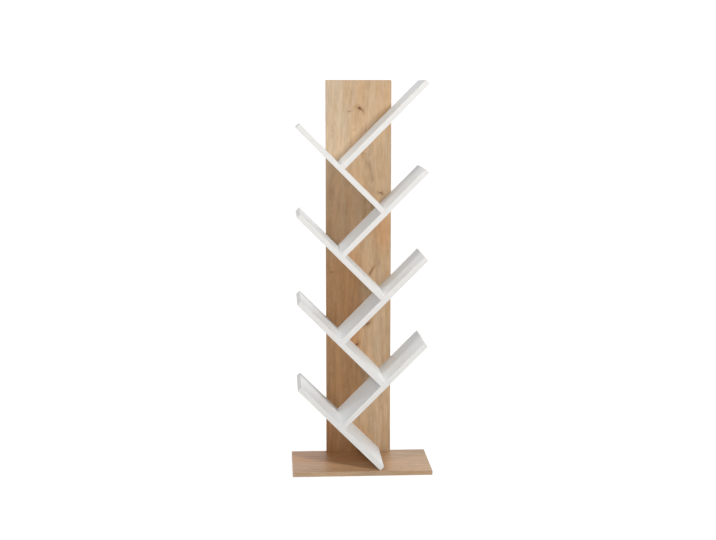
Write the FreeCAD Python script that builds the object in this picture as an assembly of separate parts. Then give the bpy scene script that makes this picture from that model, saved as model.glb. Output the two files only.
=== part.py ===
import FreeCAD, Part
import math
import os

from FreeCAD import Vector

# Tree shaped bookshelf, in millimetres. An upright panel stands at the back of a flat base. Identical shelves
# zigzag up its front, each standing square on the middle of the shelf below, leaning left and right in turn
# at 45 degrees. The origin is the middle of the base's underside, the front faces -Y and +Z is up.

# Boards
shelf_length = 400.0
shelf_depth = 245.0
shelf_thickness = 18.0
shelf_pairs = 4
panel_width = 230.0
panel_thickness = 16.0
base_width = 480.0
base_thickness = 16.0
base_front_margin = 7.0
base_rear_margin = 2.0

# Bands glued to the edges of the boards
band_thickness = 1.0
band_round = 0.8

# Flats round a screw, a dowel and the hole of each
round_sides = 12

# One-piece chipboard screws with a countersunk head and a hexagon socket
screw_length = 50.0
screw_radius = 3.5
screw_head_radius = 5.0
screw_head_height = 2.5
socket_flats = 4.0
socket_depth = 3.0
screw_clearance = 0.1
screw_hole_spare = 2.0

# Where the screws go: along a shelf from its foot, in from the panel's sides, and in the panel's lower edge
screw_from_foot = 45.0
screw_from_panel_side = 24.0
base_screw_from_panel_side = 45.0
base_screw_recess = 0.5

# Caps pushed into the sockets of the screws on the back of the panel
cap_radius = 6.5
cap_thickness = 1.2
cap_bevel = 0.5
cap_stem_length = 2.5
cap_clearance = 0.1

# Dowels in the foot of a shelf and under the panel
dowel_radius = 4.0
dowel_length = 30.0
dowel_seat_depth = 10.0
dowel_clearance = 0.1
dowel_end_gap = 1.0
dowel_from_shelf_edge = 60.0
panel_dowel_spacing = 50.0

# Places worked out from the sizes above
base_depth = base_rear_margin + panel_thickness + shelf_depth + base_front_margin
panel_rear = base_depth / 2 - base_rear_margin
panel_front = panel_rear - panel_thickness
base_front = -base_depth / 2
base_rear = base_depth / 2
half_thickness = shelf_thickness / 2
half_length = shelf_length / 2

REARWARD = Vector(0, 1, 0)
FORWARD = Vector(0, -1, 0)
UPWARD = Vector(0, 0, 1)
LEFT = -1
RIGHT = 1


class Stand:
    """Where one shelf stands: the middle of its foot at the panel, the way it rises and the way its top faces."""

    def __init__(self, foot, side):
        self.foot = foot
        self.rise = Vector(side, 0, 1).normalize()
        self.top = Vector(-side, 0, 1).normalize()

    def point(self, along, out, depth):
        """A point given by its distance from the foot, out of the middle of the board and from the panel."""
        return self.foot + self.rise * along + self.top * out + FORWARD * depth

    def seat(self):
        """The middle of the top face, where the next shelf's foot stands."""
        return self.point(half_length, half_thickness, 0)


def shelf_stands():
    """The stands of all shelves, from the lowest up, left and right in turn.

    The foot of the lowest shelf rests on the base by its lower corner. Feet of left shelves stand as far right of
    the panel's middle as those of right shelves stand left of it.
    """
    foot_x = (half_length - half_thickness) / 2 * math.sqrt(0.5)
    foot_z = base_thickness + half_thickness * math.sqrt(0.5)
    foot = Vector(foot_x, panel_front, foot_z)
    stands = []
    for number in range(2 * shelf_pairs):
        side = LEFT if number % 2 == 0 else RIGHT
        stands.append(Stand(foot, side))
        foot = stands[-1].seat()
    return stands


def block(low, high):
    """A box between two corners."""
    size = high - low
    return Part.makeBox(size.x, size.y, size.z, low)


def slab(stand, along, depth):
    """The full thickness of a shelf between two distances from its foot and two from the panel."""
    corners = [
        stand.point(along[0], -half_thickness, depth[0]),
        stand.point(along[1], -half_thickness, depth[0]),
        stand.point(along[1], half_thickness, depth[0]),
        stand.point(along[0], half_thickness, depth[0]),
    ]
    outline = Part.makePolygon(corners + corners[:1])
    return Part.Face(outline).extrude(FORWARD * (depth[1] - depth[0]))


def band(plate, outward):
    """An edge band: a thin plate with the two long edges of its outer face rounded over."""
    outer = max(plate.Faces, key=lambda face: face.CenterOfMass.dot(outward))
    long_edges = sorted(outer.Edges, key=lambda edge: edge.Length)[-2:]
    return plate.makeFillet(band_round, long_edges)


def rim(sides, corner_radius):
    """A closed many-sided outline round the origin."""
    corners = []
    for k in range(sides + 1):
        angle = 2 * math.pi * k / sides
        corners.append(Vector(corner_radius * math.cos(angle), corner_radius * math.sin(angle), 0))
    return Part.makePolygon(corners)


def placed(shape, start, direction):
    """A shape made along +Z, set down at a point and turned to a direction."""
    shape.Placement = FreeCAD.Placement(start, FreeCAD.Rotation(UPWARD, direction))
    return shape


def prism(sides, corner_radius, length, start, direction):
    """A straight rod with flats."""
    return placed(Part.Face(rim(sides, corner_radius)).extrude(UPWARD * length), start, direction)


def taper(sides, start_radius, end_radius, length, start, direction):
    """A rod with flats that narrows or widens evenly."""
    end_rim = rim(sides, end_radius)
    end_rim.translate(UPWARD * length)
    return placed(Part.makeLoft([rim(sides, start_radius), end_rim], True, True), start, direction)


def hexagon(flats, length, start, direction):
    """A hexagonal rod of the given width across flats."""
    return prism(6, flats / math.sqrt(3), length, start, direction)


def screw_form(head, direction, clearance, spare):
    """The outline of a screw from the middle of its head: a cone and a shank, widened for the hole it needs."""
    head_radius = screw_head_radius + clearance
    shank_radius = screw_radius + clearance
    cone = taper(round_sides, head_radius, shank_radius, screw_head_height, head, direction)
    shank_length = screw_length - screw_head_height + spare
    shank_start = head + direction * screw_head_height
    return cone.fuse(prism(round_sides, shank_radius, shank_length, shank_start, direction))


def screw(head, direction):
    """A screw with its hexagon socket."""
    socket = hexagon(socket_flats, socket_depth, head, direction)
    return screw_form(head, direction, 0, 0).cut(socket)


def screw_hole(head, direction):
    """What is drilled for a screw through both boards that it joins."""
    return screw_form(head, direction, screw_clearance, screw_hole_spare)


def screw_recess(head, direction):
    """The short bore that lets a screw head lie below the face that it is driven from."""
    start = head - direction * base_screw_recess
    return prism(round_sides, screw_head_radius + screw_clearance, base_screw_recess, start, direction)


def cap(head, direction):
    """A round cap over a screw head, tapered at its rim, with a stem in the screw's socket."""
    disc = Part.makeCone(cap_radius, cap_radius - cap_bevel, cap_thickness, head, direction * -1)
    stem = hexagon(socket_flats - 2 * cap_clearance, cap_stem_length, head, direction)
    return disc.fuse(stem)


def dowel_form(seat, direction, clearance, end_gap):
    """A dowel across a seat: sunk in the board below it, the rest in the foot above, widened for its hole."""
    start = seat - direction * (dowel_seat_depth + end_gap)
    return prism(round_sides, dowel_radius + clearance, dowel_length + 2 * end_gap, start, direction)


def dowel(seat, direction):
    """A dowel in its place."""
    return dowel_form(seat, direction, 0, 0)


def dowel_hole(seat, direction):
    """What is drilled for a dowel in both boards that it joins."""
    return dowel_form(seat, direction, dowel_clearance, dowel_end_gap)


def drilled(board, holes):
    """A board with all the holes that reach it."""
    return board.cut(holes) if holes else board


def shelf_screw_heads(stand):
    """Heads of a shelf's two screws: one near its foot, one near the panel's side where the shelf leaves it."""
    to_side = (abs(stand.foot.x) + panel_width / 2 - screw_from_panel_side) * math.sqrt(2)
    return [stand.point(along, 0, -panel_thickness) for along in (screw_from_foot, to_side)]


def foot_dowel_seats(stand):
    """Where the dowels in a shelf's foot cross the face that it stands on."""
    depths = (dowel_from_shelf_edge, shelf_depth - dowel_from_shelf_edge)
    return [stand.point(0, 0, depth) for depth in depths]


def shelf_board(stand, banded_foot, holes):
    """The core of a shelf, inside its bands. A foot that stands on another shelf is raw."""
    along = (band_thickness if banded_foot else 0, shelf_length - band_thickness)
    depth = (band_thickness, shelf_depth - band_thickness)
    return drilled(slab(stand, along, depth), holes)


def shelf_bands(stand, banded_foot, holes):
    """The bands of a shelf: front and rear along its whole length, the ends between them."""
    whole = (0, shelf_length)
    between = (band_thickness, shelf_depth - band_thickness)
    rear = band(slab(stand, whole, (0, band_thickness)), REARWARD)
    front = band(slab(stand, whole, (shelf_depth - band_thickness, shelf_depth)), FORWARD)
    tip = band(slab(stand, (shelf_length - band_thickness, shelf_length), between), stand.rise)
    strips = [drilled(rear, holes), front, tip]
    if banded_foot:
        strips.append(band(slab(stand, (0, band_thickness), between), stand.rise * -1))
    return Part.makeCompound(strips)


def panel_board(panel_top, holes):
    """The core of the panel, raw at its foot, where it stands on the base."""
    half_width = panel_width / 2 - band_thickness
    low = Vector(-half_width, panel_front, base_thickness)
    high = Vector(half_width, panel_rear, panel_top - band_thickness)
    return drilled(block(low, high), holes)


def panel_bands(panel_top):
    """The bands of the panel: both sides from base to top, and the top between them."""
    outer = panel_width / 2
    inner = outer - band_thickness
    strips = []
    for side in (LEFT, RIGHT):
        edges = sorted((side * inner, side * outer))
        low = Vector(edges[0], panel_front, base_thickness)
        high = Vector(edges[1], panel_rear, panel_top)
        strips.append(band(block(low, high), Vector(side, 0, 0)))
    low = Vector(-inner, panel_front, panel_top - band_thickness)
    high = Vector(inner, panel_rear, panel_top)
    strips.append(band(block(low, high), UPWARD))
    return Part.makeCompound(strips)


def base_board(holes):
    """The core of the base, inside its bands."""
    half_width = base_width / 2 - band_thickness
    low = Vector(-half_width, base_front + band_thickness, 0)
    high = Vector(half_width, base_rear - band_thickness, base_thickness)
    return drilled(block(low, high), holes)


def base_bands():
    """The bands of the base: front and rear along its whole width, both sides between them."""
    half_width = base_width / 2
    strips = []
    for outward, near, far in (
        (FORWARD, base_front, base_front + band_thickness),
        (REARWARD, base_rear - band_thickness, base_rear),
    ):
        plate = block(Vector(-half_width, near, 0), Vector(half_width, far, base_thickness))
        strips.append(band(plate, outward))
    for side in (LEFT, RIGHT):
        edges = sorted((side * (half_width - band_thickness), side * half_width))
        low = Vector(edges[0], base_front + band_thickness, 0)
        high = Vector(edges[1], base_rear - band_thickness, base_thickness)
        strips.append(band(block(low, high), Vector(side, 0, 0)))
    return Part.makeCompound(strips)


def write(name, shape):
    """One file for one named piece or group of like pieces."""
    shape.exportStep(f"parts/{name}.step")


os.makedirs("parts", exist_ok=True)

stands = shelf_stands()
panel_top = stands[-1].point(shelf_length, half_thickness, 0).z
panel_middle = panel_front + panel_thickness / 2

# Screws up through the base and dowels that place the panel on it
base_screw_x = panel_width / 2 - base_screw_from_panel_side
base_screw_heads = [Vector(side * base_screw_x, panel_middle, base_screw_recess) for side in (LEFT, RIGHT)]
panel_dowel_x = panel_dowel_spacing / 2
panel_dowel_seats = [Vector(side * panel_dowel_x, panel_middle, base_thickness) for side in (LEFT, RIGHT)]
base_holes = [screw_hole(head, UPWARD) for head in base_screw_heads]
base_holes += [dowel_hole(seat, UPWARD) for seat in panel_dowel_seats]
base_recesses = [screw_recess(head, UPWARD) for head in base_screw_heads]

write("base_plate", base_board(base_holes + base_recesses))
write("base_edging", base_bands())
write("base_screws", Part.makeCompound([screw(head, UPWARD) for head in base_screw_heads]))
write("panel_dowels", Part.makeCompound([dowel(seat, UPWARD) for seat in panel_dowel_seats]))

# Shelves, from the lowest up, with the screws behind them and the dowels in their feet
screw_heads = []
dowels = []
for number, stand in enumerate(stands):
    on_base = number == 0
    heads = shelf_screw_heads(stand)
    screw_heads += heads
    screw_holes = [screw_hole(head, FORWARD) for head in heads]
    dowel_holes = []
    if not on_base:
        seats = foot_dowel_seats(stand)
        dowels += [dowel(seat, stand.rise) for seat in seats]
        dowel_holes += [dowel_hole(seat, stand.rise) for seat in seats]
    for upper in stands[number + 1:number + 2]:
        dowel_holes += [dowel_hole(seat, upper.rise) for seat in foot_dowel_seats(upper)]
    name = f"{'left' if number % 2 == 0 else 'right'}_shelf_{number // 2 + 1}"
    write(name, shelf_board(stand, on_base, screw_holes + dowel_holes))
    write(f"{name}_edging", shelf_bands(stand, on_base, screw_holes))

write("shelf_dowels", Part.makeCompound(dowels))
write("shelf_screws", Part.makeCompound([screw(head, FORWARD) for head in screw_heads]))
write("screw_caps", Part.makeCompound([cap(head, FORWARD) for head in screw_heads]))

# Panel, drilled for every screw that passes through it or into it
panel_holes = base_holes + [screw_hole(head, FORWARD) for head in screw_heads]
write("back_panel", panel_board(panel_top, panel_holes))
write("panel_edging", panel_bands(panel_top))
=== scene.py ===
import math

import bmesh
import bpy
import numpy as np
from mathutils import Matrix, Vector


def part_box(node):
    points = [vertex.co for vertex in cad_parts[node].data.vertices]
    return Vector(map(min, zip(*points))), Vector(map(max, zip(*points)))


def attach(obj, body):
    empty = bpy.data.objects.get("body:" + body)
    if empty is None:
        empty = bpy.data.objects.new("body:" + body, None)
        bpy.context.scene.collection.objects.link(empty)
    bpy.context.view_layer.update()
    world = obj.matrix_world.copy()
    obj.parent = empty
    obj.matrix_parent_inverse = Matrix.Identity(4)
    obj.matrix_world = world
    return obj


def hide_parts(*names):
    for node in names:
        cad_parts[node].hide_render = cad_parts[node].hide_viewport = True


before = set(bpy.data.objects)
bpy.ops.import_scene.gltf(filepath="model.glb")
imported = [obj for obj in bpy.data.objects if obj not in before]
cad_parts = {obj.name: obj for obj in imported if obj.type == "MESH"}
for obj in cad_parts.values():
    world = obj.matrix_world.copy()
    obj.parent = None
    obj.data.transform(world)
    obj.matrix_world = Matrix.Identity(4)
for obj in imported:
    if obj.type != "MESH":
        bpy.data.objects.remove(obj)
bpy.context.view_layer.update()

# Base plate: a chipboard slab faced with melamine paper printed as oak, its grain running left to right.
# It lies flat on the floor and is drilled from below for the two screws and two dowels that hold the panel.


def node(tree, kind, inputs, output=0, **settings):
    """One shader node with its settings and inputs, each input a constant or another node's output."""
    made = tree.nodes.new("ShaderNode" + kind)
    for name, value in settings.items():
        setattr(made, name, value)
    for name, value in inputs.items():
        if isinstance(value, bpy.types.NodeSocket):
            tree.links.new(value, made.inputs[name])
        else:
            made.inputs[name].default_value = value
    return made.outputs[output]


def calc(tree, operation, *values):
    """Arithmetic on sockets and numbers."""
    return node(tree, "Math", dict(enumerate(values)), operation=operation)


def blur_step(tree, value, start, end):
    """A smooth step from 0 at start to 1 at end, which may lie below start."""
    inputs = {"Value": value, "From Min": start, "From Max": end}
    return node(tree, "MapRange", inputs, interpolation_type="SMOOTHSTEP")


def cloud(tree, place, waves, detail=2.0, roughness=0.5):
    """Soft noise between about 0 and 1, with its own number of waves to the metre along each axis."""
    stretched = node(tree, "VectorMath", {0: place, 1: waves}, operation="MULTIPLY")
    inputs = {"Vector": stretched, "Scale": 1.0, "Detail": detail, "Roughness": roughness}
    return node(tree, "TexNoise", inputs, noise_dimensions="3D")


def waver(tree, place, waves, reach):
    """Soft noise that swings about zero, by about half of its reach to each side."""
    return calc(tree, "MULTIPLY_ADD", cloud(tree, place, waves), reach, -reach / 2)


def length_of(tree, vector):
    """The length of a vector."""
    return node(tree, "VectorMath", {0: vector}, output="Value", operation="LENGTH")


def axes_of(tree, vector):
    """The three numbers of a vector."""
    return node(tree, "SeparateXYZ", {0: vector}).node.outputs


def object_place(tree):
    """Where a point of a piece lies in the object's frame, in metres."""
    return node(tree, "TexCoord", {}, output="Object")


def ramp(tree, value, stops):
    """A colour chosen by a value along a run of (position, colour) stops."""
    chosen = node(tree, "ValToRGB", {0: value})
    elements = chosen.node.color_ramp.elements
    while len(elements) < len(stops):
        elements.new(0.5)
    for element, (position, colour) in zip(elements, stops):
        element.position = position
        element.color = (*colour, 1.0)
    return chosen


def mixed(tree, share, first, second, blend="MIX"):
    """A colour turned by a share into a second one, or into its product with it. Either may be plain."""
    first, second = ((*colour, 1.0) if isinstance(colour, tuple) else colour for colour in (first, second))
    inputs = {0: share, 6: first, 7: second}
    return node(tree, "Mix", inputs, output=2, data_type="RGBA", blend_type=blend)


def new_finish(name):
    """A new material with one shader, returned with its node tree and that shader."""
    material = bpy.data.materials.new(name)
    material.use_nodes = True
    return material, material.node_tree, material.node_tree.nodes["Principled BSDF"]


def finish_faces(tree, shader, colour, roughness, height, depth, strength=1.0, gloss=0.5):
    """A face's colour, roughness and gloss, with a relief pressed in to a depth in metres."""
    tree.links.new(colour, shader.inputs["Base Color"])
    tree.links.new(roughness, shader.inputs["Roughness"])
    shader.inputs["Specular IOR Level"].default_value = gloss
    relief = node(tree, "Bump", {"Height": height, "Distance": depth, "Strength": strength})
    tree.links.new(relief, shader.inputs["Normal"])


def dress(name, material):
    """Gives a CAD node's object its finish in place of the plain one that it came with."""
    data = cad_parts[name].data
    data.materials.clear()
    data.materials.append(material)


# The print's colours: a run from dark to pale streaks, tints that multiply it, and inks for pores and knots.
OAK_STREAKS = [
    (0.27, (0.390, 0.240, 0.130)),
    (0.41, (0.512, 0.346, 0.204)),
    (0.54, (0.588, 0.414, 0.258)),
    (0.74, (0.690, 0.517, 0.348)),
]
OAK_COOL = (0.985, 1.0, 1.02)
OAK_WARM = (1.03, 0.99, 0.93)
OAK_PORE = (0.34, 0.205, 0.11)
OAK_KNOT = (0.085, 0.038, 0.016)
OAK_KNOT_HALO = (0.40, 0.225, 0.105)
OAK_THREADS = [(0.34, (0.94, 0.925, 0.91)), (0.66, (1.08, 1.09, 1.10))]

# The figure's growth lines, in metres, and its noises, in waves to the metre across, along and into it.
heart_roundness = 0.014
heart_taper = 0.05
ring_slope = 0.4
ring_spacing = 0.015
fibre_spacing = 0.0045
thread_spacing = 0.0013
RING_WAVES = (1 / ring_spacing, 1.6, 0.0)
FIBRE_WAVES = (1 / fibre_spacing, 5.0, 0.0)
THREAD_WAVES = (1 / thread_spacing, 5.0, 0.0)
BROAD_WAVES = (16.0, 1.8, 0.0)
BLOTCH_WAVES = (70.0, 16.0, 0.0)
WARMTH_WAVES = (34.0, 6.0, 0.0)
PORE_WAVES = (1100.0, 38.0, 1100.0)
SWAY_WAVES = (5.0, 1.6, 5.0)
sway_reach = 0.05
RIPPLE_WAVES = (45.0, 10.0, 45.0)
ripple_reach = 0.010

# How far each noise counts in the streaks, and between which values the others start and are full.
fibre_share = 0.17
ring_share = 0.25
broad_share = 0.15
blotch_share = 0.43
WARMTH_STEP = (0.35, 0.65)
PORE_STEP = (0.55, 0.64)
OPEN_RING_STEP = (0.62, 0.40)
pore_ink = 0.5
oak_roughness = 0.38
fibre_roughness = 0.10
pore_roughness = 0.14
fibre_height = 0.25

# A knot's zones, from where each starts to where it is full, in lengths of its size, and their effects.
KNOT_SPREAD = (5.0, 0.0)
KNOT_HALO = (3.6, 0.6)
KNOT_CORE = (1.1, 0.35)
knot_bulge = -0.85
knot_head = 0.6
knot_tail_end = 1.3
knot_tail_fall = 0.5
knot_ink = 0.92
halo_least = 0.4
rim_least = 0.22
rim_lines = 0.45
TATTER_WAVES = (190.0, 70.0, 0.0)
tatter_reach = 1.2
CROWDED_WAVES = (450.0, 9.0, 0.0)
CROWDED_STEP = (0.62, 0.40)


def knot_distance(tree, place, knot):
    """How far a point lies from a knot's middle, in lengths of its size, and how far sideways from it.

    The knot's own axes are turned by its lean. Lengths along its tail are shortened and the tail is bent
    sideways by the square of its length, so that level lines are drops with a curl. Past the tail's end a
    share of the plain distance is added, so that the knot reaches no further.
    """
    knot_across, knot_along, size, lean, curl, tail, _ = knot
    offset = node(tree, "VectorMath", {0: place, 1: (knot_across, knot_along, 0)}, operation="SUBTRACT")
    own = node(tree, "VectorRotate", {"Vector": offset, "Angle": lean}, rotation_type="Z_AXIS")
    sideways, lengthways, _ = axes_of(tree, own)
    bend = calc(tree, "MULTIPLY", calc(tree, "MULTIPLY", lengthways, lengthways), curl)
    bent = calc(tree, "ADD", sideways, bend)
    towards_tail = calc(tree, "MULTIPLY", lengthways, tail)
    towards_head = calc(tree, "MULTIPLY", lengthways, -knot_head)
    drawn = calc(tree, "MAXIMUM", towards_tail, towards_head)
    drop = node(tree, "CombineXYZ", {0: bent, 1: drawn, 2: 0.0})
    plain = node(tree, "CombineXYZ", {0: sideways, 1: lengthways, 2: 0.0})
    past_tail = calc(tree, "SUBTRACT", length_of(tree, plain), knot_tail_end * size / tail)
    past_tail = calc(tree, "MAXIMUM", past_tail, 0.0)
    distance = calc(tree, "MULTIPLY_ADD", past_tail, knot_tail_fall, length_of(tree, drop))
    return calc(tree, "DIVIDE", distance, size), axes_of(tree, offset)[0]


def oak_figure(tree, across, along, depth, heart, knots):
    """Printed oak: colour, roughness and pore height from the distances across and along the grain.

    Growth rings are level lines of the distance from the heart line, rounded there and drifting along the
    grain, so that they close into arches. Each knot spreads the lines round itself and crowds them at its
    rim. Streaks, blotches and pores are noise drawn out along those lines.
    """
    place = node(tree, "CombineXYZ", {0: across, 1: along, 2: depth})
    sway = waver(tree, place, SWAY_WAVES, sway_reach)
    ripple = waver(tree, place, RIPPLE_WAVES, ripple_reach)
    line = calc(tree, "ADD", across, calc(tree, "ADD", sway, ripple))
    darkness = 0.0
    halo = 0.0
    for knot in knots:
        ink = knot[-1]
        distance, sideways = knot_distance(tree, place, knot)
        ragged = calc(tree, "ADD", distance, waver(tree, place, TATTER_WAVES, tatter_reach))
        bulge = calc(tree, "MULTIPLY", blur_step(tree, distance, *KNOT_SPREAD), knot_bulge)
        line = calc(tree, "MULTIPLY_ADD", sideways, bulge, line)
        dark_here = calc(tree, "MULTIPLY", blur_step(tree, ragged, *KNOT_CORE), ink)
        darkness = calc(tree, "MAXIMUM", darkness, dark_here)
        halo_ink = halo_least + (1 - halo_least) * ink
        halo_here = calc(tree, "MULTIPLY", blur_step(tree, ragged, *KNOT_HALO), halo_ink)
        halo = calc(tree, "MAXIMUM", halo, halo_here)
    from_heart = calc(tree, "SUBTRACT", line, heart)
    squared = calc(tree, "MULTIPLY_ADD", from_heart, from_heart, heart_roundness ** 2)
    ring = calc(tree, "MULTIPLY_ADD", along, heart_taper, calc(tree, "SQRT", squared))
    ring = calc(tree, "MULTIPLY_ADD", depth, ring_slope, ring)
    growth = node(tree, "CombineXYZ", {0: ring, 1: along, 2: depth})
    rings = cloud(tree, growth, RING_WAVES, detail=1.0)
    fibres = cloud(tree, growth, FIBRE_WAVES, detail=3.0, roughness=0.6)
    broad = cloud(tree, place, BROAD_WAVES)
    blotches = cloud(tree, place, BLOTCH_WAVES, detail=3.0, roughness=0.6)
    streaks = calc(tree, "MULTIPLY", fibres, fibre_share)
    for layer, share in ((rings, ring_share), (broad, broad_share), (blotches, blotch_share)):
        streaks = calc(tree, "MULTIPLY_ADD", layer, share, streaks)
    colour = ramp(tree, streaks, OAK_STREAKS)
    warmth = blur_step(tree, cloud(tree, place, WARMTH_WAVES), *WARMTH_STEP)
    colour = mixed(tree, 1.0, colour, mixed(tree, warmth, OAK_COOL, OAK_WARM), "MULTIPLY")
    threads = cloud(tree, growth, THREAD_WAVES, roughness=0.6)
    colour = mixed(tree, 1.0, colour, ramp(tree, threads, OAK_THREADS), "MULTIPLY")
    dashes = blur_step(tree, cloud(tree, place, PORE_WAVES, detail=1.0), *PORE_STEP)
    pores = calc(tree, "MULTIPLY", dashes, blur_step(tree, rings, *OPEN_RING_STEP))
    colour = mixed(tree, calc(tree, "MULTIPLY", pores, pore_ink), colour, OAK_PORE)
    if knots:
        crowded = blur_step(tree, cloud(tree, growth, CROWDED_WAVES, detail=1.0), *CROWDED_STEP)
        rim = calc(tree, "MULTIPLY", halo, calc(tree, "MULTIPLY_ADD", crowded, rim_lines, rim_least))
        colour = mixed(tree, rim, colour, OAK_KNOT_HALO)
        colour = mixed(tree, calc(tree, "MULTIPLY", darkness, knot_ink), colour, OAK_KNOT)
    roughness = calc(tree, "MULTIPLY_ADD", fibres, fibre_roughness, oak_roughness)
    roughness = calc(tree, "MULTIPLY_ADD", pores, pore_roughness, roughness)
    height = calc(tree, "MULTIPLY_ADD", pores, -1.0, calc(tree, "MULTIPLY", fibres, fibre_height))
    return colour, roughness, height


# A knot's row: its place across and along the grain, size, lean, curl, shortening of the tail, and ink.
BASE_KNOTS = [
    (0.045, 0.165, 0.0030, 0.2, 6.0, 0.25, 0.5),
    (-0.07, -0.185, 0.0026, -0.3, -8.0, 0.3, 0.5),
]
BASE_TONE = (0.845, 0.725, 0.62)
# Painted shade: the base is darker and warmer at the left rear, behind the lowest shelf's foot, where that
# shelf shadows it.
BASE_PAINTED_SHADE_TINT = (0.90, 0.77, 0.66)
BASE_PAINTED_SHADE_ACROSS = (-0.06, 0.01)
BASE_PAINTED_SHADE_ALONG = (0.09, 0.03)
# Painted light: the base is paler towards its right end, where it lies lit.
BASE_PAINTED_LIGHT_TINT = (0.97, 1.02, 1.05)
BASE_PAINTED_LIGHT_ALONG = (0.05, 0.15)
base_heart = -0.03
base_gloss = 0.5
pore_depth = 0.00012
pore_strength = 0.35

base_oak, tree, shader = new_finish("base_oak_decor")
x, y, z = axes_of(tree, object_place(tree))
colour, roughness, height = oak_figure(tree, y, x, z, base_heart, BASE_KNOTS)
colour = mixed(tree, 1.0, colour, BASE_TONE, "MULTIPLY")
# Painted shade, darker and warmer at the left rear where the lowest shelf shadows the base.
painted_shade_along = blur_step(tree, x, *BASE_PAINTED_SHADE_ALONG)
painted_shade = calc(tree, "MULTIPLY", painted_shade_along, blur_step(tree, y, *BASE_PAINTED_SHADE_ACROSS))
colour = mixed(tree, painted_shade, colour, BASE_PAINTED_SHADE_TINT, "MULTIPLY")
# Painted light, paler towards the right end where the base lies lit.
painted_light = blur_step(tree, x, *BASE_PAINTED_LIGHT_ALONG)
colour = mixed(tree, painted_light, colour, BASE_PAINTED_LIGHT_TINT, "MULTIPLY")
finish_faces(tree, shader, colour, roughness, height, pore_depth, pore_strength, base_gloss)
dress("base_plate", base_oak)

# Base edging: oak printed plastic tape one millimetre thick, glued round the plate and rounded over at its
# long edges. Its grain follows the tape, so it turns with it at the corners.

X, Y, Z = 0, 1, 2
oak_gloss = 0.35


def oak_tape(name, across, run, turned_run, turned_side, heart, tone):
    """Oak printed tape: its figure follows the run, but the turned run on faces to the turned side.

    A face is to that side where its normal's share of the side's axis, either way, is over a half.
    """
    tape, tree, shader = new_finish(name)
    axes = axes_of(tree, object_place(tree))
    facing = axes_of(tree, node(tree, "NewGeometry", {}, output="Normal"))[turned_side]
    is_turned = calc(tree, "GREATER_THAN", calc(tree, "ABSOLUTE", facing), 0.5)
    inputs = {0: is_turned, 2: axes[run], 3: axes[turned_run]}
    along = node(tree, "Mix", inputs, data_type="FLOAT")
    colour, roughness, height = oak_figure(tree, axes[across], along, 0.0, heart, knots=[])
    colour = mixed(tree, 1.0, colour, tone, "MULTIPLY")
    finish_faces(tree, shader, colour, roughness, height, pore_depth, pore_strength, oak_gloss)
    return tape


BASE_TAPE_TONE = (0.86, 0.85, 0.86)
base_tape_heart = 0.04
base_tape = oak_tape(
    "base_oak_tape",
    across=Z,
    run=X,
    turned_run=Y,
    turned_side=X,
    heart=base_tape_heart,
    tone=BASE_TAPE_TONE,
)
dress("base_edging", base_tape)

# Back panel: the same printed board, standing on end behind the shelves with its grain upright and a handful
# of small knots. Painted shade makes it richer and darker on the left below, where the panel lies in shade
# under the left shelves, and painted light makes it paler at the top left, where it lies in full light. It
# is screwed from below and drilled through for the shelves' screws.

PANEL_KNOTS = [
    (0.0023, 1.2492, 0.0048, 2.05, -12.0, 0.26, 1.0),
    (-0.0358, 1.2370, 0.0018, 1.45, 4.0, 0.14, 0.5),
    (-0.0158, 1.1732, 0.0022, 1.20, 4.0, 0.30, 0.2),
    (0.0470, 1.0080, 0.0042, -0.12, 3.0, 0.06, 0.12),
    (0.0792, 0.9519, 0.0040, -1.20, 8.0, 0.35, 0.75),
    (0.0419, 0.6658, 0.0040, 0.38, -5.0, 0.13, 0.75),
    (0.0319, 0.4835, 0.0050, 0.90, 6.0, 0.35, 0.7),
    (-0.0049, 0.4095, 0.0046, 0.60, 6.0, 0.45, 0.95),
    (-0.0973, 0.6723, 0.0020, 1.55, 2.0, 0.12, 0.35),
]
panel_heart = 0.045
DRIFT_WAVES = (22.0, 0.0, 1.4)
drift_reach = 0.09
# Painted shade: a richer, darker tint on the left of the panel, where it lies in shade under the left
# shelves, stronger lower down and at its foot, and in patches.
PAINTED_SHADE_TINT = (0.94, 0.735, 0.555)
PAINTED_SHADE_ACROSS = (0.05, -0.02)
PAINTED_SHADE_FOOT = (0.24, 0.06)
painted_shade_foot_shift = 0.08
# Each fade of the painted shade: the heights between which it comes in on the way down, and how much of it.
PAINTED_SHADE_FADES = [((1.08, 0.94), 0.4), ((0.79, 0.68), 0.6)]
# Each patch of painted shade: its middle across and up the panel, half its width and height, and how strong
# it is.
PAINTED_SHADE_PATCHES = [
    (-0.02, 0.05, 0.09, 0.10, 0.9),
    (0.0, 0.24, 0.06, 0.08, 0.9),
    (0.0, 0.53, 0.06, 0.08, 0.9),
    (0.085, 0.82, 0.07, 0.11, 0.75),
]
PAINTED_SHADE_PATCH_EDGE = (1.0, 0.2)
# Painted light: a paler, cooler tint at the top left of the panel, where it lies in full light.
PAINTED_LIGHT_TINT = (1.02, 1.12, 1.25)
PAINTED_LIGHT_ACROSS = (0.01, -0.08)
PAINTED_LIGHT_RISE = (1.01, 1.11)

panel_oak, tree, shader = new_finish("panel_oak_decor")
x, y, z = axes_of(tree, object_place(tree))
colour, roughness, height = oak_figure(tree, x, z, y, panel_heart, PANEL_KNOTS)
wandering = calc(tree, "ADD", x, waver(tree, object_place(tree), DRIFT_WAVES, drift_reach))
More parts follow.
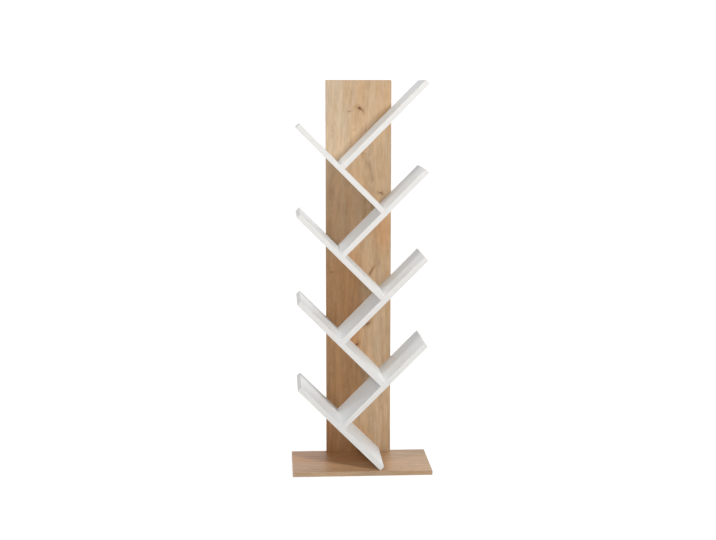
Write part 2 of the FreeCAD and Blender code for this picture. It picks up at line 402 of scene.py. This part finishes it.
# Painted shade: a richer, darker tint on the left, coming in lower down and in patches.
painted_shade_boundary = calc(tree, "MULTIPLY_ADD", blur_step(tree, z, *PAINTED_SHADE_FOOT), painted_shade_foot_shift, wandering)
painted_shade_fading = 0.0
for fade_heights, share in PAINTED_SHADE_FADES:
    painted_shade_fading = calc(tree, "MULTIPLY_ADD", blur_step(tree, z, *fade_heights), share, painted_shade_fading)
painted_shade = calc(tree, "MULTIPLY", blur_step(tree, painted_shade_boundary, *PAINTED_SHADE_ACROSS), painted_shade_fading)
spot = node(tree, "CombineXYZ", {0: wandering, 1: z, 2: 0.0})
for patch_x, patch_z, half_width, half_height, amount in PAINTED_SHADE_PATCHES:
    aside = node(tree, "VectorMath", {0: spot, 1: (patch_x, patch_z, 0)}, operation="SUBTRACT")
    shares = {0: aside, 1: (1 / half_width, 1 / half_height, 0)}
    reach = length_of(tree, node(tree, "VectorMath", shares, operation="MULTIPLY"))
    patch = calc(tree, "MULTIPLY", blur_step(tree, reach, *PAINTED_SHADE_PATCH_EDGE), amount)
    painted_shade = calc(tree, "MAXIMUM", painted_shade, patch)
colour = mixed(tree, painted_shade, colour, PAINTED_SHADE_TINT, "MULTIPLY")
# Painted light, paler at the top left of the panel.
painted_light = calc(tree, "MULTIPLY", blur_step(tree, wandering, *PAINTED_LIGHT_ACROSS), blur_step(tree, z, *PAINTED_LIGHT_RISE))
colour = mixed(tree, painted_light, colour, PAINTED_LIGHT_TINT, "MULTIPLY")
finish_faces(tree, shader, colour, roughness, height, pore_depth, pore_strength, oak_gloss)
dress("back_panel", panel_oak)

# Panel edging: the same tape on both sides and across the top of the panel, glued on and rounded over. Its
# grain again follows the tape, so it is upright on the sides and level on the top.

# The panel's tape is toned darker than the base's, so that the panel's edges show as a thin darker line.
PANEL_TAPE_TONE = (0.80, 0.76, 0.73)
panel_tape_heart = 0.16
panel_tape = oak_tape(
    "panel_oak_tape",
    across=Y,
    run=Z,
    turned_run=X,
    turned_side=Z,
    heart=panel_tape_heart,
    tone=PANEL_TAPE_TONE,
)
dress("panel_edging", panel_tape)

# Panel dowels: two fluted beech pegs that place the panel on the base before it is screwed down. Their
# grooves let glue and air out of the blind hole, and their ends are chamfered.


def separate_solids(name, axes, reach):
    """The corner points of each solid in a node of like ones, told apart by distance across some axes."""
    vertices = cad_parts[name].data.vertices
    corners = np.empty(len(vertices) * 3)
    vertices.foreach_get("co", corners)
    corners = corners.reshape(-1, 3)
    solids = []
    while len(corners):
        near = np.linalg.norm(corners[:, axes] - corners[0, axes], axis=1) < reach
        solids.append(corners[near])
        corners = corners[~near]
    return solids


def middle_of(corners):
    """The middle of the box round some points."""
    return (corners.min(axis=0) + corners.max(axis=0)) / 2


def round_angles(columns):
    """Angles evenly spaced once round, starting from zero."""
    return np.linspace(0, 2 * np.pi, columns, endpoint=False)


def turned(radii, heights):
    """A turned form along +Z: each row of radii goes once round the axis at its height."""
    angle = round_angles(radii.shape[1])
    heights = np.broadcast_to(heights[:, None], radii.shape)
    return np.stack([radii * np.cos(angle), radii * np.sin(angle), heights], axis=2)


def set_down(form, start, direction):
    """A form made along +Z, moved to a start point and turned so that +Z becomes the direction."""
    turn = np.array(Vector(direction).to_track_quat("Z", "Y").to_matrix())
    return form @ turn.T + np.asarray(start)


def welded(name, forms, smooth_angle):
    """One mesh object of several closed forms, each a grid with columns that go round and points for ends.

    Every four neighbours in a grid make a face, with a UV of turn and length. Points that coincide at the
    ends are welded. Edges sharper than the angle, in degrees, stay sharp.
    """
    rows, columns = forms[0].shape[:2]
    corner = np.arange(rows * columns).reshape(rows, columns)
    after = np.roll(corner, -1, axis=1)
    quads = np.stack([corner[:-1], after[:-1], after[1:], corner[1:]], axis=2).reshape(-1, 4)
    quads = np.concatenate([quads + k * rows * columns for k in range(len(forms))])
    points = np.concatenate([form.reshape(-1, 3) for form in forms])
    mesh = bpy.data.meshes.new(name)
    mesh.from_pydata(points, [], quads)
    row, column = np.divmod(np.arange((rows - 1) * columns), columns)
    turn = np.stack([column, column + 1, column + 1, column], axis=1) / columns
    run = np.stack([row, row, row + 1, row + 1], axis=1) / rows
    uv = np.tile(np.stack([turn, run], axis=2).reshape(-1, 2), (len(forms), 1))
    mesh.uv_layers.new(name="turn_and_length").data.foreach_set("uv", uv.ravel())
    shell = bmesh.new()
    shell.from_mesh(mesh)
    bmesh.ops.remove_doubles(shell, verts=shell.verts, dist=1e-6)
    shell.to_mesh(mesh)
    shell.free()
    mesh.shade_smooth()
    mesh.set_sharp_from_angle(angle=math.radians(smooth_angle))
    made = bpy.data.objects.new(name, mesh)
    bpy.context.scene.collection.objects.link(made)
    return made


def stand_in(made, material, replaced):
    """A finished piece with its material, attached to the root body, that shows in place of a CAD node,
    which is hidden.
    """
    made.data.materials.append(material)
    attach(made, "root")
    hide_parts(replaced)


dowel_radius = 0.004
dowel_length = 0.030
dowel_chamfer = 0.0012
dowel_reach = 1.5 * dowel_length
dowel_smooth_angle = 35
flute_count = 14
flute_depth = 0.0004
columns_per_flute = 6


def fluted_dowel():
    """A peg: a circle with evenly spaced grooves, drawn straight along the axis and cut back at both ends.

    A groove is the square of the positive half of a cosine that repeats once for each flute.
    """
    angle = round_angles(flute_count * columns_per_flute)
    groove = np.maximum(0, np.cos(flute_count * angle)) ** 2
    full = dowel_radius - flute_depth * groove
    blunt = np.minimum(full, dowel_radius - dowel_chamfer)
    heights = np.array([0, 0, dowel_chamfer, dowel_length - dowel_chamfer, dowel_length, dowel_length])
    radii = np.stack([0 * full, blunt, full, full, blunt, 0 * full])
    return turned(radii, heights)


def dowels_like(name):
    """A fluted dowel for each CAD dowel of a node, along its longest direction."""
    forms = []
    for corners in separate_solids(name, [X, Y, Z], dowel_reach):
        direction = np.linalg.svd(corners - corners.mean(axis=0), full_matrices=False)[2][0]
        start = middle_of(corners) - direction * dowel_length / 2
        forms.append(set_down(fluted_dowel(), start, direction))
    return forms


BEECH_GRAIN = [(0.3, (0.60, 0.40, 0.24)), (0.7, (0.74, 0.54, 0.36))]
BEECH_FLECK = (0.42, 0.24, 0.12)
BEECH_WAVES = (30.0, 2.5, 0.0)
FLECK_WAVES = (70.0, 14.0, 0.0)
FLECK_STEP = (0.60, 0.72)
fleck_ink = 0.5
beech_roughness = 0.55
beech_roughness_swing = 0.2
beech_grain_depth = 0.0001

beech, tree, shader = new_finish("raw_beech")
unrolled = node(tree, "TexCoord", {}, output="UV")
grain = cloud(tree, unrolled, BEECH_WAVES, detail=3.0)
flecks = blur_step(tree, cloud(tree, unrolled, FLECK_WAVES, detail=1.0), *FLECK_STEP)
colour = mixed(tree, calc(tree, "MULTIPLY", flecks, fleck_ink), ramp(tree, grain, BEECH_GRAIN), BEECH_FLECK)
roughness = calc(tree, "MULTIPLY_ADD", grain, beech_roughness_swing, beech_roughness)
finish_faces(tree, shader, colour, roughness, grain, beech_grain_depth)

fluted_panel_dowels = welded("fluted_panel_dowels", dowels_like("panel_dowels"), dowel_smooth_angle)
stand_in(fluted_panel_dowels, beech, "panel_dowels")

# Base screws: zinc plated one-piece chipboard screws with a coarse thread, a countersunk head and a hexagon
# socket. They are driven up through the base into the panel's lower edge, heads just below the surface.

screw_length = 0.050
screw_crest = 0.0035
screw_core = 0.0024
screw_columns = 24
screw_smooth_angle = 40
head_radius = 0.005
head_height = 0.0025
head_rim = 0.0004
head_reach = 2.4 * head_radius
socket_flats = 0.004
socket_depth = 0.003
socket_floor = 0.6
socket_flare = 1.04
socket_wall = 0.93
smooth_neck = 0.009
thread_gap = 0.0006
thread_pitch = 0.003
thread_rows_per_turn = 8
ridge_half = 0.26
tip_length = 0.004
tip_core = 0.35


def hexagon_radius(angle, flats):
    """How far a hexagon of a given width across flats reaches at an angle: half that width over a cosine."""
    sixth = np.pi / 3
    return flats / 2 / np.cos((angle + sixth / 2) % sixth - sixth / 2)


def threaded_screw():
    """A screw from its head's face along +Z: socket, head, neck, thread and tip as one profile.

    The socket's rows are a hexagon. The thread's rows rise between core and crest by their distance along
    the axis less the share of the pitch that the angle has gone round.
    """
    angle = round_angles(screw_columns)
    socket = hexagon_radius(angle, socket_flats)
    whole = np.ones(screw_columns)
    turns = (screw_length - smooth_neck - head_height) / thread_pitch
    run = np.linspace(head_height + smooth_neck, screw_length, int(turns * thread_rows_per_turn))
    phase = (run[:, None] / thread_pitch - angle / (2 * np.pi)) % 1.0
    ridge = np.clip(1.0 - np.abs(phase - 0.5) / ridge_half, 0, 1)
    to_tip = (screw_length - run) / tip_length
    fade = np.clip((run - run[0]) / thread_pitch, 0, 1) * np.clip(to_tip, 0, 1)
    core = screw_core * np.clip(tip_core + (1 - tip_core) * to_tip, tip_core, 1.0)
    thread = core[:, None] + (screw_crest - screw_core) * ridge * fade[:, None]
    opening = [0 * whole, socket * socket_floor, socket, socket * socket_flare]
    head = [whole * (head_radius - head_rim), whole * head_radius, whole * screw_crest, whole * screw_crest]
    radii = np.concatenate([np.stack(opening + head), thread, [0 * whole]])
    opening_heights = [socket_depth, socket_depth, socket_depth * socket_wall, 0.0]
    head_heights = [0.0, head_rim, head_height, head_height + smooth_neck - thread_gap]
    heights = np.concatenate([opening_heights, head_heights, run, [screw_length]])
    return turned(radii, heights)


def screws_like(name, axis, direction):
    """A threaded screw for each CAD screw of a node, from the middle of its head."""
    others = [k for k in (X, Y, Z) if k != axis]
    forms = []
    for corners in separate_solids(name, others, head_reach):
        head = middle_of(corners)
        head[axis] -= direction[axis] * screw_length / 2
        forms.append(set_down(threaded_screw(), head, direction))
    return forms


ZINC_BLOOM = [(0.3, (0.62, 0.63, 0.64)), (0.7, (0.78, 0.77, 0.73))]
BLOOM_WAVES = (700.0, 700.0, 700.0)
SCRATCH_WAVES = (4000.0, 250.0, 4000.0)
zinc_roughness = 0.22
zinc_roughness_swing = 0.25

zinc, tree, shader = new_finish("bright_zinc")
place = object_place(tree)
colour = ramp(tree, cloud(tree, place, BLOOM_WAVES, detail=3.0), ZINC_BLOOM)
scratches = cloud(tree, place, SCRATCH_WAVES)
roughness = calc(tree, "MULTIPLY_ADD", scratches, zinc_roughness_swing, zinc_roughness)
tree.links.new(colour, shader.inputs["Base Color"])
tree.links.new(roughness, shader.inputs["Roughness"])
shader.inputs["Metallic"].default_value = 1.0

base_screw_forms = screws_like("base_screws", Z, (0, 0, 1))
threaded_base_screws = welded("threaded_base_screws", base_screw_forms, screw_smooth_angle)
stand_in(threaded_base_screws, zinc, "base_screws")

# Shelves: eight alike chipboard boards faced with white melamine, each standing square on the middle of the
# one below. The face is satin and almost neutral, with a fine pearl pressed in.

WHITE_FACE = [(0.3, (0.850, 0.862, 0.862)), (0.7, (0.878, 0.890, 0.890))]
WHITE_MOTTLE_WAVES = (60.0, 60.0, 60.0)
PEARL_WAVES = (1500.0, 1500.0, 1500.0)
white_roughness = 0.40
white_roughness_swing = 0.12
white_gloss = 0.28
pearl_depth = 0.00008
pearl_strength = 0.3

white_face, tree, shader = new_finish("white_melamine")
place = object_place(tree)
mottle = cloud(tree, place, WHITE_MOTTLE_WAVES, detail=3.0)
pearl = cloud(tree, place, PEARL_WAVES)
colour = ramp(tree, mottle, WHITE_FACE)
roughness = calc(tree, "MULTIPLY_ADD", mottle, white_roughness_swing, white_roughness)
finish_faces(tree, shader, colour, roughness, pearl, pearl_depth, pearl_strength, white_gloss)

SHELVES = [f"{side}_shelf_{number}" for number in range(1, 5) for side in ("left", "right")]
for shelf in SHELVES:
    dress(shelf, white_face)

# Shelf edging: white plastic tape glued on every edge of a shelf but a foot that stands on another shelf.
# It is smoother than the faces and a little warmer, with a very fine grain.

TAPE_WHITE = [(0.3, (0.764, 0.749, 0.722)), (0.7, (0.793, 0.776, 0.749))]
TAPE_MOTTLE_WAVES = (45.0, 45.0, 45.0)
TAPE_GRAIN_WAVES = (900.0, 900.0, 900.0)
tape_roughness = 0.30
tape_roughness_swing = 0.10
tape_gloss = 0.30
tape_grain_depth = 0.00004
tape_grain_strength = 0.2

white_tape, tree, shader = new_finish("white_tape")
place = object_place(tree)
colour = ramp(tree, cloud(tree, place, TAPE_MOTTLE_WAVES), TAPE_WHITE)
fine = cloud(tree, place, TAPE_GRAIN_WAVES)
roughness = calc(tree, "MULTIPLY_ADD", fine, tape_roughness_swing, tape_roughness)
finish_faces(tree, shader, colour, roughness, fine, tape_grain_depth, tape_grain_strength, tape_gloss)
for shelf in SHELVES:
    dress(f"{shelf}_edging", white_tape)

# Shelf dowels: the same fluted beech pegs, two in the foot of each shelf but the lowest. They are sunk into
# the shelf below, square to its face.

fluted_shelf_dowels = welded("fluted_shelf_dowels", dowels_like("shelf_dowels"), dowel_smooth_angle)
stand_in(fluted_shelf_dowels, beech, "shelf_dowels")

# Shelf screws: the same zinc plated screws, two for each shelf. They are driven through the back of the
# panel into the shelf's rear edge.

shelf_screw_forms = screws_like("shelf_screws", Y, (0, -1, 0))
threaded_shelf_screws = welded("threaded_shelf_screws", shelf_screw_forms, screw_smooth_angle)
stand_in(threaded_shelf_screws, zinc, "shelf_screws")

# Screw caps: moulded oak coloured plastic covers on the back of the panel. A low dome with a thin rim hides
# the screw's head, and a tapered hexagon stem grips its socket.

cap_radius = 0.0065
cap_thickness = 0.0012
cap_rim = 0.0004
cap_reach = 2.4 * cap_radius
cap_columns = 48
cap_smooth_angle = 40
dome_rows = 9
dome_foot = 1.5 * cap_rim
stem_flats = 0.0038
stem_length = 0.0025
stem_straight = 0.8
stem_taper = 0.85


def domed_cap():
    """A cap along +Z, which points into the panel: a dome on -Z, a thin rim, a flat underside and a stem.

    The dome falls with the square of the distance from the axis. The stem's rows are a hexagon that narrows.
    """
    whole = np.ones(cap_columns)
    share = np.linspace(0, 1, dome_rows)
    dome_radii = share[:, None] * (cap_radius - cap_rim) * whole
    dome_heights = -cap_thickness + (cap_thickness - dome_foot) * share ** 2
    stem = hexagon_radius(round_angles(cap_columns), stem_flats)
    rest_radii = np.stack([whole * cap_radius, whole * cap_radius, stem, stem, stem * stem_taper, 0 * whole])
    rest_heights = np.array([-cap_rim, 0, 0, stem_length * stem_straight, stem_length, stem_length])
    radii = np.concatenate([dome_radii, rest_radii])
    heights = np.concatenate([dome_heights, rest_heights])
    return turned(radii, heights)


CAP_SWIRL = [(0.3, (0.47, 0.31, 0.18)), (0.7, (0.56, 0.38, 0.235))]
SWIRL_WAVES = (220.0, 220.0, 90.0)
SPARK_WAVES = (3500.0, 3500.0, 3500.0)
cap_roughness = 0.42
cap_roughness_swing = 0.15
spark_depth = 0.00006
spark_strength = 0.3

cap_plastic, tree, shader = new_finish("oak_coloured_plastic")
place = object_place(tree)
colour = ramp(tree, cloud(tree, place, SWIRL_WAVES, detail=3.0), CAP_SWIRL)
spark = cloud(tree, place, SPARK_WAVES)
roughness = calc(tree, "MULTIPLY_ADD", spark, cap_roughness_swing, cap_roughness)
finish_faces(tree, shader, colour, roughness, spark, spark_depth, spark_strength)

cap_forms = []
for corners in separate_solids("screw_caps", [X, Z], cap_reach):
    seat = middle_of(corners)
    seat[Y] = corners[:, Y].max() - cap_thickness
    cap_forms.append(set_down(domed_cap(), seat, (0, -1, 0)))
domed_screw_caps = welded("domed_screw_caps", cap_forms, cap_smooth_angle)
stand_in(domed_screw_caps, cap_plastic, "screw_caps")

# Studio: a white floor that keeps a faint shadow, a paper screen far behind that only the camera sees, a
# white surround that also lights the tops softly from the rear, four round soft lamps and the camera.


def any_ray(tree, *kinds):
    """1 for a ray of one of some kinds, 0 for any other."""
    answer = 0.0
    for kind in kinds:
        answer = calc(tree, "MAXIMUM", answer, node(tree, "LightPath", {}, output=kind))
    return answer


def studio_paper(name):
    """An empty material for the stage that isn't taken for a lamp, with its tree and its surface's input."""
    paper = bpy.data.materials.new(name)
    paper.use_nodes = True
    paper.cycles.emission_sampling = "NONE"
    paper.node_tree.nodes.clear()
    output = paper.node_tree.nodes.new("ShaderNodeOutputMaterial")
    return paper, paper.node_tree, output.inputs["Surface"]


def studio_sheet(name, corners, paper):
    """One flat sheet of paper between four corners."""
    mesh = bpy.data.meshes.new(name)
    mesh.from_pydata(corners, [], [(0, 1, 2, 3)])
    mesh.materials.append(paper)
    sheet = bpy.data.objects.new(name, mesh)
    bpy.context.scene.collection.objects.link(sheet)
    return sheet


# The camera sees the floor as grey paper with a glow that brings it to white. Near the object the paper is
# darker and the glow stronger, so that the shadow there is faint.
floor_half = 12.0
floor_level = -0.0002
FLOOR_WHITE = (0.8, 0.8, 0.8, 1)
NEAR_STEP = (1.3, 0.3)
far_grey = 0.5
near_grey = 0.25
far_glow = 0.81
near_glow = 0.86

floor_paper, tree, surface = studio_paper("white_sweep")
near = blur_step(tree, length_of(tree, object_place(tree)), *NEAR_STEP)
grey = calc(tree, "MULTIPLY_ADD", near, near_grey - far_grey, far_grey)
glow = calc(tree, "MULTIPLY_ADD", near, near_glow - far_glow, far_glow)
seen_grey = node(tree, "CombineColor", {0: grey, 1: grey, 2: grey})
seen_paper = node(tree, "BsdfDiffuse", {"Color": seen_grey})
seen_glow = node(tree, "Emission", {"Strength": glow})
seen_floor = node(tree, "AddShader", {0: seen_paper, 1: seen_glow})
plain_floor = node(tree, "BsdfDiffuse", {"Color": FLOOR_WHITE})
seen = any_ray(tree, "Is Camera Ray", "Is Glossy Ray")
tree.links.new(node(tree, "MixShader", {0: seen, 1: plain_floor, 2: seen_floor}), surface)
turns = [(-1, -1), (1, -1), (1, 1), (-1, 1)]
floor_corners = [(floor_half * u, floor_half * v, floor_level) for u, v in turns]
floor = studio_sheet("studio_floor", floor_corners, floor_paper)

# The screen takes the lamps on its front and lets the rear light through, and a glow brings it to white.
# It neither lights nor shades the object.
screen_half = 9.0
screen_behind = 7.0
screen_height = 4.0
SCREEN_GREY = (0.4, 0.4, 0.4, 1)
screen_glow = 0.58

screen_paper, tree, surface = studio_paper("white_screen")
front = node(tree, "BsdfDiffuse", {"Color": SCREEN_GREY})
through = node(tree, "BsdfTranslucent", {"Color": SCREEN_GREY})
glow = calc(tree, "MULTIPLY", any_ray(tree, "Is Camera Ray"), screen_glow)
lit_paper = node(tree, "AddShader", {0: front, 1: through})
seen_glow = node(tree, "Emission", {"Strength": glow})
tree.links.new(node(tree, "AddShader", {0: lit_paper, 1: seen_glow}), surface)
turns = [(-1, 0), (1, 0), (1, 1), (-1, 1)]
screen_corners = [(screen_half * u, screen_behind, screen_height * v) for u, v in turns]
screen = studio_sheet("studio_screen", screen_corners, screen_paper)
screen.visible_diffuse = False
screen.visible_glossy = False
screen.visible_transmission = False
screen.visible_shadow = False

# The surround is white to the camera and in reflections. As a light it is dim, but for a soft glow from the
# rear and above.
ambient = 0.04
rear_glow = 2.0
REAR_DIRECTION = (0.300, 0.660, 0.690)
REAR_STEP = (0.75, 0.98)

world = bpy.data.worlds.new("white_studio")
bpy.context.scene.world = world
world.use_nodes = True
tree = world.node_tree
surround = tree.nodes["Background"]
surround.inputs["Color"].default_value = (1, 1, 1, 1)
towards = node(tree, "NewGeometry", {}, output="Position")
inputs = {0: towards, 1: REAR_DIRECTION}
from_rear = node(tree, "VectorMath", inputs, output="Value", operation="DOT_PRODUCT")
light = calc(tree, "MULTIPLY_ADD", blur_step(tree, from_rear, *REAR_STEP), rear_glow, ambient)
seen = any_ray(tree, "Is Camera Ray", "Is Glossy Ray", "Is Transmission Ray")
strength = node(tree, "Mix", {0: seen, 2: light, 3: 1.0}, data_type="FLOAT")
tree.links.new(strength, surround.inputs["Strength"])

# Each lamp: its place, its width and its power in watts. All look at the middle of the panel's height.
LAMPS = {
    "right_key": ((2.80, -4.41, 3.61), 0.50, 197.0),
    "left_softbox": ((-3.42, -3.31, 4.32), 0.75, 90.0),
    "left_side_softbox": ((-4.10, -1.10, 4.91), 0.75, 26.0),
    "overhead_softbox": ((-0.28, -3.26, 5.70), 0.90, 28.0),
}
panel_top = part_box("back_panel")[1].z
aim = Vector((0, 0, panel_top / 2))
for name, (spot, width, power) in LAMPS.items():
    data = bpy.data.lights.new(name, "AREA")
    data.shape = "DISK"
    data.size = width
    data.energy = power
    lamp = bpy.data.objects.new(name, data)
    lamp.location = spot
    lamp.rotation_mode = "QUATERNION"
    lamp.rotation_quaternion = (Vector(spot) - aim).to_track_quat("Z", "Y")
    bpy.context.scene.collection.objects.link(lamp)

# The camera stands where the photograph was taken from. Pan, tilt and roll are in radians.
EYE = (-0.2906, -4.5089, 1.3170)
PAN, TILT, ROLL = 0.06242, 0.13686, 0.00068
camera_data = bpy.data.cameras.new("camera")
camera_data.sensor_width = 36.0
camera_data.lens = 66.31
camera_data.clip_end = 100.0
camera = bpy.data.objects.new("camera", camera_data)
bpy.context.scene.collection.objects.link(camera)
camera.matrix_world = (
    Matrix.Translation(EYE)
    @ Matrix.Rotation(-PAN, 4, "Z")
    @ Matrix.Rotation(math.pi / 2 - TILT, 4, "X")
    @ Matrix.Rotation(ROLL, 4, "Z")
)
bpy.context.scene.camera = camera
bpy.context.scene.view_settings.view_transform = "Standard"
